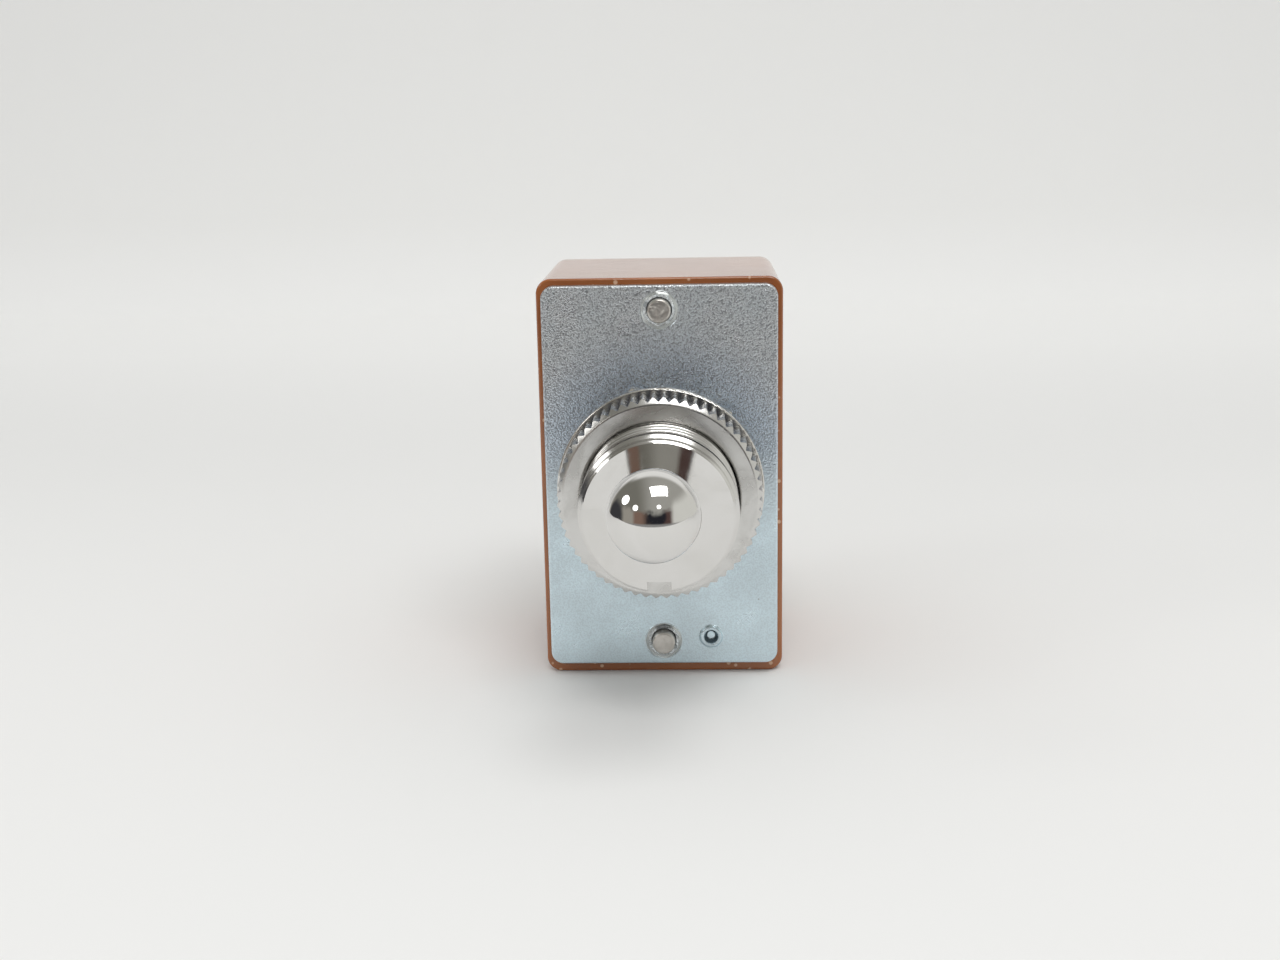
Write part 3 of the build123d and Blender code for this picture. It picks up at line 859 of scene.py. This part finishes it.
nut = {
    "teeth": 60, "tip": 7.9, "root": 7.62,
    "tipFlat": 0.16,  # share of a tooth's pitch
    "rootFlat": 0.10,
    "flankShares": (0.17, 0.30),  # extra columns on each flank
    "bore": 6.05, "mouth": 0.14,
    "back": -3.712,  # a hair off the key washer, so that it turns free
    "front": -6.9, "bevelWidth": 0.42, "bevelDepth": 0.34, "backBevel": 0.3, "faceRound": 0.05,
    "faceRoundMiddle": (0.25, 0.45),  # shares of the round, outward and back
    "mouthRound": 0.4, "supportRound": 2.5, "sharp": 20.0,
}


def toothRadius(size, share):
    # radius across one tooth, from root to tip to root
    across = abs(share - 0.5) * 2
    rise = (1.0 - size["rootFlat"] - across) / (1.0 - size["rootFlat"] - size["tipFlat"])
    return size["root"] + (size["tip"] - size["root"]) * min(1.0, max(0.0, rise))


def makeNut():
    size = nut
    front, back, bore, soft = size["front"], size["back"], size["bore"], size["faceRound"]
    shares = [0.0, size["rootFlat"] / 2, *size["flankShares"], 0.5 - size["tipFlat"] / 2]
    shares += [0.5] + [1.0 - share for share in reversed(shares)]
    face = size["tip"] - size["bevelWidth"]
    slope = size["bevelDepth"] / size["bevelWidth"]
    rim = bore + size["mouth"]
    out, inward = size["faceRoundMiddle"]
    support, mouth = size["supportRound"] * soft, size["mouthRound"] * soft
    backTip = size["tip"] - size["backBevel"]
    columns = []
    for share in shares:
        radius = toothRadius(size, share)
        bevelY = front + slope * (radius - face)
        backY = back - max(0.0, radius - backTip)
        profile = [
            (bore, back - size["mouth"]), (rim, back), (min(radius, backTip), back), (radius, backY),
            (radius, (backY + bevelY) / 2), (radius, bevelY), (face + soft, front + slope * soft),
            (face + out * soft, front + inward * soft), (face - soft, front), (face - support, front),
            (rim + support, front), (rim + soft, front), (rim - mouth, front + mouth),
            (bore, front + size["mouth"]),
        ]
        angle = 2 * math.pi / size["teeth"] * share
        columns.append([(r * math.cos(angle), y, r * math.sin(angle)) for r, y in profile])
    sector = rawMesh("nut_sector", *skin(list(zip(*columns)), loop=True, wrap=False))
    values = {"Count": size["teeth"], "Finish": finishes["nut_chrome"]}
    piece = repeated("nut_knurled", sector, roundTree, values, size["sharp"])
    place(piece, "knurled_nut", "nut_chrome", "knurled_nut")


makeNut()
print("nut knurled")


# Terminal screws: one slotted screw with its thread, on a grid of six

screws = {
    "radius": 1.5, "rootRadius": 1.24, "pitch": 0.5, "phase": 0.0, "length": 5.0, "point": 0.4,
    "head": 2.4, "headHeight": 1.8, "headRound": 0.6, "headRoundSteps": 6, "headChamfer": 0.12,
    "slotWidth": 0.8, "slotDepth": 0.9,
    "cutOver": 0.5,  # how far the slot's cutter stands out
    "columnGap": 8.6, "rowGap": 10.23, "seat": (0.0, 23.4, 0.5), "steps": 40, "rowsPerTurn": 6,
    "singleSharp": 32.0, "sharp": 30.0,
}


def makeScrews():
    size = screws

    def pointed(threadRadius, left):
        return min(threadRadius, size["radius"] - max(0.0, size["point"] - left))

    top, soft, wide, edge = size["headHeight"], size["headRound"], size["head"], size["headChamfer"]
    head = [(0.0, top)]
    head += reversed(arc((wide - soft, top - soft), soft, 0.0, math.pi / 2, size["headRoundSteps"]))
    head += [(wide, edge), (wide - edge, 0.0)]
    rings = seamed(head, size["steps"]) + threadRings(size, size["length"], pointed)
    rings += seamed([(0.0, -size["length"])], size["steps"])
    points, faces = skin(rings, wrap=False)
    # stood up, with the head's underside at z = 0 and the thread below
    points = [(x, -z, y) for x, y, z in points]
    single = addPiece("terminal_screw", points, faces, "screw_nickel", size["singleSharp"])
    over, slot = size["cutOver"], size["slotWidth"] / 2
    cutAway(single, boxCutter((-wide - over, -slot, top - size["slotDepth"]), (wide + over, slot, top + over)))
    mesh = single.data
    bpy.data.objects.remove(single)
    values = {
        "Column Gap": size["columnGap"] * mm, "Row Gap": size["rowGap"] * mm, "Columns": 2, "Rows": 3,
        "Middle": [part * mm for part in size["seat"]], "Finish": finishes["screw_nickel"],
    }
    piece = repeated("screws_slotted", mesh, standTree, values, size["sharp"])
    place(piece, "switch_body", "screw_nickel", "terminal_screws")


makeScrews()
print("terminal screws threaded")


# Springs behind the plungers, coiled at one fixed length, though the real ones shorten as the plungers go in

springs = {
    "radius": 0.95, "wire": 0.1, "turns": 4,
    "start": 10.982,  # from the lever's pivot
    "end": 12.702,
    "closing": 0.35,  # how much closer the turns lie at both ends
    "poleX": 4.3, "travel": 0.6, "sides": 14, "stepsPerTurn": 36, "sharp": 40.0,
}


def makeSpring(pole, x):
    size = springs
    count = size["turns"] * size["stepsPerTurn"]
    line = []
    for step in range(count + 1):
        share = step / count
        angle = 2 * math.pi * share * size["turns"]
        eased = share - size["closing"] * math.sin(2 * math.pi * share) / (2 * math.pi)
        y = size["start"] + (size["end"] - size["start"]) * eased
        spot = Vector((x + size["radius"] * math.cos(angle), y, size["radius"] * math.sin(angle)))
        line.append(leverPose @ spot)
    mesh = rawMesh("spring_line", line, [], [(step, step + 1) for step in range(count)])
    values = {"Wire": size["wire"] * mm, "Sides": size["sides"], "Finish": finishes["spring_steel"]}
    piece = repeated(pole + "_spring_coil", mesh, wireTree, values, size["sharp"])
    place(piece, "lever", "spring_steel", pole + "_spring")
    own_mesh(piece)


makeSpring("left", -springs["poleX"])
makeSpring("right", springs["poleX"])
print("springs coiled")


# Crushed metal in the craters round the two pins

stakes = {
    "inner": 0.985, "outer": 1.545,
    "lip": [(0.02, 0.01), (0.0, -0.008), (-0.03, 0.004)],  # from the outer radius
    "outerWave": {"size": 0.035, "scale": 3.1, "seed": 3.0},
    "bevelFoot": 1.27, "bevelDepth": 0.16, "footRound": (0.015, -0.009),
    "footWave": {"size": 0.03, "scale": 2.3, "shift": (5, 0, 0)},
    "ridges": [1.22, 1.18, 1.14, 1.10, 1.06, 1.015], "ridgeDrop": 0.015,
    "ridgeStep": 0.01,  # least room between a ridge and the bevel's foot
    "crush": {"size": 0.10, "scale": 5.5, "seed": 2.0},
    "gapDepth": 0.20, "floor": 0.34, "under": (1.19, 0.36), "steps": 150, "sharp": 60.0,
}


def stakeColumn(size, angle, side):
    # (radius, y) points from the lip down to the pin and back under the bevel
    x, z = math.cos(angle), math.sin(angle)
    outer, feet, crush = size["outerWave"], size["footWave"], size["crush"]
    spot = Vector((x, z, side * outer["seed"]))
    wide = size["outer"] + outer["size"] * noise.noise(spot * outer["scale"])
    foot = size["bevelFoot"] + feet["size"] * noise.noise(spot * feet["scale"] + Vector(feet["shift"]))
    deep, (roundOut, roundUp) = size["bevelDepth"], size["footRound"]
    column = [(wide + out, y) for out, y in size["lip"]]
    column += [(foot + roundOut, deep + roundUp), (foot, deep)]
    for ridge in size["ridges"]:
        bump = noise.noise(Vector((x * ridge, z * ridge, side * crush["seed"])) * crush["scale"])
        column.append((min(ridge, foot - size["ridgeStep"]), deep + size["ridgeDrop"] - crush["size"] * bump))
    column += [(size["inner"], size["gapDepth"]), (size["inner"], size["floor"]), size["under"]]
    return column


def makeStakes():
    size = stakes
    points, faces = [], []
    for side, pin in ((-1, "lowerPin"), (1, "upperPin")):
        columns = []
        for step in range(size["steps"]):
            angle = 2 * math.pi * step / size["steps"]
            x, z = math.cos(angle), math.sin(angle)
            column = stakeColumn(size, angle, side)
            columns.append([(radius * x, y, plateSpots[pin][1] + radius * z) for radius, y in column])
        newPoints, newFaces = skin(list(zip(*columns)), loop=True)
        start = len(points)
        points += newPoints
        faces += [tuple(start + index for index in face) for face in newFaces]
    piece = addPiece("stake_craters", points, faces, "stakedZinc", size["sharp"])
    place(piece, "switch_body", "zinc_plate")


makeStakes()
print("pins staked")


# Rolled lip and bowl of the pierced pip

pip = {
    "steps": 72,
    "profile": [
        (1.02, 0.012), (0.95, -0.03), (0.90, -0.11), (0.872, -0.18), (0.82, -0.215),
        (0.74, -0.225), (0.66, -0.21), (0.61, -0.16), (0.57, -0.06), (0.50, 0.10),
        (0.41, 0.27), (0.35, 0.345), (0.28, 0.365), (0.14, 0.35), (0.0, 0.345),
    ],
    "under": [(0.0, 0.44), (0.59, 0.44), (0.59, 0.02)], "sharp": 40.0,
}


def makePip():
    size = pip
    x, z = plateSpots["pip"]
    shift = Matrix.Translation((x, 0, z))
    points, faces = skin(turned(size["profile"] + size["under"], size["steps"], shift), loop=True)
    piece = addPiece("pip_bowl", points, faces, "pipZinc", size["sharp"])
    place(piece, "switch_body", "zinc_plate")


makePip()
print("pip rolled")


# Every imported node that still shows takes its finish

for part in frame["record"]["subparts"]:
    item = cadNodes[part["node"]]
    item.data.materials.clear()
    item.data.materials.append(finishes[part["material_slot"]])
print("nodes finished")


# Floor that curves up into the wall behind

stageSize = {
    "floor": -16.65, "front": -122.0, "bend": 236.0, "bendRadius": 22.0, "bendSteps": 12, "wall": 260.0,
    "halfWidth": 420.0, "floorTone": (0.83, 0.83, 0.815), "wallTone": (0.985, 0.985, 0.97),
    "toneBand": (70.8, 236.0),
    "card": {"Roughness": 0.9, "Specular_IOR_Level": 0.1},
}


def makeStage():
    size = stageSize
    ground, bend, radius = size["floor"], size["bend"], size["bendRadius"]
    line = [(size["front"], ground), (0.0, ground), (bend, ground)]
    for step in range(1, size["bendSteps"] + 1):
        angle = math.pi / 2 * step / size["bendSteps"]
        line.append((bend + radius * math.sin(angle), ground + radius * (1 - math.cos(angle))))
    line.append((bend + radius, ground + size["wall"]))
    points = [(x, y, z) for y, z in line for x in (-size["halfWidth"], size["halfWidth"])]
    faces = [(2 * row, 2 * row + 1, 2 * row + 3, 2 * row + 2) for row in range(len(line) - 1)]
    mesh = rawMesh("floor_sweep", points, faces)
    mesh.shade_smooth()
    tree, shader, where = newFinish("stageCard")
    back = lengthRamp(tree, axesOf(tree, where)["Y"], *size["toneBand"])
    tone = mixColour(tree, back, size["floorTone"], size["wallTone"])
    feedAll(tree, shader, Base_Color=tone, **size["card"])
    mesh.materials.append(finishes["stageCard"])
    floor = addObject("floor_sweep", mesh)


makeStage()


# Camera at the photo's place

camera = {
    "position": (2.821, -122.273, 28.925), "pitch": 0.23222, "yaw": -0.0372858, "roll": -0.0185479,
    "lens": 43.84, "sensor": 36.0, "clip": (0.005, 5.0),
}


def makeCamera():
    size = camera
    pitch, yaw, roll = size["pitch"], size["yaw"], size["roll"]
    level = math.cos(pitch)
    ahead = Vector((math.sin(yaw) * level, math.cos(yaw) * level, -math.sin(pitch)))
    right = Vector((math.cos(yaw), -math.sin(yaw), 0.0))
    upward = right.cross(ahead)
    across = math.cos(roll) * right + math.sin(roll) * upward
    rise = -math.sin(roll) * right + math.cos(roll) * upward
    data = bpy.data.cameras.new("view")
    data.sensor_fit = "HORIZONTAL"
    data.sensor_width = size["sensor"]
    data.lens = size["lens"]
    data.clip_start, data.clip_end = size["clip"]
    holder = addObject("view", data)
    turn = Matrix((across, rise, -ahead)).transposed().to_4x4()
    holder.matrix_world = Matrix.Translation(Vector(size["position"]) * mm) @ turn
    bpy.context.scene.camera = holder


makeCamera()


# Light: an even room, a soft window above and in front, small lamps low down

room = {
    "horizon": 0.22, "zenith": 0.93, "paper": (0.86, 0.86, 0.84), "above": (0.40, 0.395, 0.365),
    "aboveLeft": (0.20, 0.195, 0.17), "behind": (0.90, 0.90, 0.88), "low": (0.30, 0.30, 0.295),
    "brown": (0.10, 0.082, 0.066), "dark": (0.022, 0.022, 0.028), "right": (0.74, 0.74, 0.70),
    "leftFlank": (0.235, 0.155, 0.122), "rightFlank": (0.10, 0.062, 0.056),
    "leftGrey": (0.36, 0.34, 0.30), "farLeft": (0.05, 0.05, 0.055), "darkWay": (0.14, -0.976, 0.167),
    "stain": {"scale": 3.2, "detail": 3.0, "roughness": 0.6},
}
# Where each part of the room starts and ends, as shares of a unit direction
roomBands = {
    "overheadDeep": (0.10, 0.40), "overheadAcross": (-0.65, -0.30), "behind": (0.30, 0.60),
    "above": (-0.55, 0.05),
    "wave": (0.3, 0.7, -0.08, 0.08),  # how the stain bends the edge of the dusk
    "dusk": (0.20, 0.42), "brown": (0.38, 0.62), "flankSide": (-0.05, 0.05), "flank": (0.15, 0.45),
    "leftGrey": (-0.60, -0.72), "dark": (0.92, 0.965), "right": (0.56, 0.72), "rightHigh": (0.4, 0.7),
    "farLeft": (-0.88, -0.96), "farLeftHigh": (0.5, 0.7), "low": (-0.14, -0.07),
}


def makeRoom():
    look, bands = room, roomBands
    world = bpy.data.worlds.new("room")
    bpy.context.scene.world = world
    world.use_nodes = True
    tree = world.node_tree
    way = addNode(tree, "ShaderNodeTexCoord").outputs["Generated"]
    axes = axesOf(tree, way)
    across, deep, high = axes["X"], axes["Y"], axes["Z"]

    def rising(value, name):
        return ramp(tree, value, *bands[name])

    def falling(value, name):
        return ramp(tree, value, *bands[name], 1.0, 0.0)

    # what the metal sees: pale behind, grey above, dark low in front, dull below that
    overhead = times(tree, rising(deep, "overheadDeep"), rising(across, "overheadAcross"))
    pale = mathNode(tree, "MAXIMUM", rising(deep, "behind"), overhead)
    front = mathNode(tree, "SUBTRACT", 1.0, pale)
    ceiling = mixColour(tree, rising(across, "above"), look["aboveLeft"], look["above"])
    seen = mixColour(tree, front, look["behind"], ceiling)
    stain = noiseValue(tree, way, **look["stain"])
    edge = mathNode(tree, "ADD", high, rising(stain, "wave"))
    dusk = mixColour(tree, rising(stain, "brown"), look["dark"], look["brown"])
    flank = mixColour(tree, rising(across, "flankSide"), look["leftFlank"], look["rightFlank"])
    dusk = mixColour(tree, rising(mathNode(tree, "ABSOLUTE", across), "flank"), dusk, flank)
    dusk = mixColour(tree, rising(across, "leftGrey"), dusk, look["leftGrey"])
    facing = vectorNode(tree, "DOT_PRODUCT", way, look["darkWay"])["Value"]
    dusk = mixColour(tree, rising(facing, "dark"), dusk, look["dark"])
    seen = mixColour(tree, times(tree, front, falling(edge, "dusk")), seen, dusk)
    for side in ("right", "farLeft"):
        mask = times(tree, rising(across, side), falling(high, side + "High"))
        seen = mixColour(tree, mask, seen, look[side])
    seen = mixColour(tree, times(tree, front, falling(high, "low")), seen, look["low"])
    # dull surfaces get more light from overhead than from the sides
    even = ramp(tree, high, 0.0, 1.0, look["horizon"], look["zenith"], smooth=False)
    rays = addNode(tree, "ShaderNodeLightPath").outputs
    lit = mixColour(tree, rays["Is Glossy Ray"], even, seen)
    shown = mixColour(tree, rays["Is Camera Ray"], lit, look["paper"])
    feedAll(tree, tree.nodes["Background"], Color=shown, Strength=1.0)


lampAim = (0.0, -25.0, 5.0)


def addLamp(name, position, size, power, shape="DISK", spin=0.0):
    data = bpy.data.lights.new(name, "AREA")
    data.shape = shape
    data.size, data.size_y = (part * mm for part in size)
    data.energy = power
    lamp = addObject(name, data)
    where = Vector(position) * mm
    lamp.rotation_mode = "QUATERNION"
    facing = (Vector(lampAim) * mm - where).to_track_quat("-Z", "Y")
    lamp.rotation_quaternion = facing @ Quaternion((0.0, 0.0, 1.0), math.radians(spin))
    lamp.location = where


makeRoom()
addLamp("window", (73.0, -177.0, 345.0), size=(215.0, 150.0), power=0.50, shape="RECTANGLE", spin=-12.0)
addLamp("leftLamp", (-262.0, -104.0, 171.0), size=(95.0, 95.0), power=0.07)
addLamp("lowLeftLamp", (-191.0, -245.0, 138.0), size=(62.0, 62.0), power=0.03)
addLamp("pinLamp", (63.0, -278.0, 154.0), size=(46.0, 46.0), power=0.0125)
bpy.context.scene.view_settings.view_transform = "Standard"
print("stage, camera and light set")
